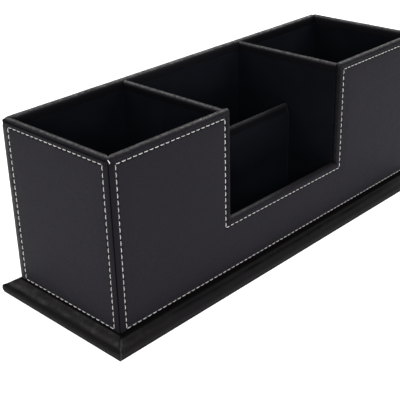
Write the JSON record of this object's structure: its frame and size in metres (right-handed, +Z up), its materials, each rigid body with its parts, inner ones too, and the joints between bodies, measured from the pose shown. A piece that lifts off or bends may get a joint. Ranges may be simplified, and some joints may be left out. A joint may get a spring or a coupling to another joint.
{
  "type": "pen holder",
  "caption": "Desk organizer of black stitched leather: open lined bays behind a front with a square notch, on a wider moulded base.",
  "frame": {"origin": "middle of the underside, on the surface that the organizer stands on", "axes": "+X along the front to the right, +Y from the notched front to the back, +Z up"},
  "size_m": [0.293, 0.103, 0.1096],
  "materials": {
    "leather": "black imitation leather with a fine grain, satin",
    "velvet": "black flocked velvet",
    "fibreboard": "raw fibreboard, hidden",
    "felt": "black needle felt",
    "screw_steel": "zinc-plated, hidden",
    "thread": "off-white polyester sewing thread"
  },
  "bodies": {
    "root": {"base_cover": "leather", "front_cover": "leather", "back_cover": "leather", "left_end_cover": "leather", "right_end_cover": "leather", "left_divider_binding": "leather", "right_divider_binding": "leather", "partition_binding": "leather", "left_bay_lining": "velvet", "middle_bay_lining": "velvet", "right_bay_lining": "velvet", "partition_front_lining": "velvet", "partition_back_lining": "velvet", "left_bay_floor_pad": "velvet", "front_pocket_floor_pad": "velvet", "back_pocket_floor_pad": "velvet", "right_bay_floor_pad": "velvet", "base_board": "fibreboard", "floor_board": "fibreboard", "front_board": "fibreboard", "back_board": "fibreboard", "left_end_board": "fibreboard", "right_end_board": "fibreboard", "left_divider_board": "fibreboard", "right_divider_board": "fibreboard", "partition_board": "fibreboard", "base_pad": "felt", "base_screws": "screw_steel"}
  },
  "joints": []
}
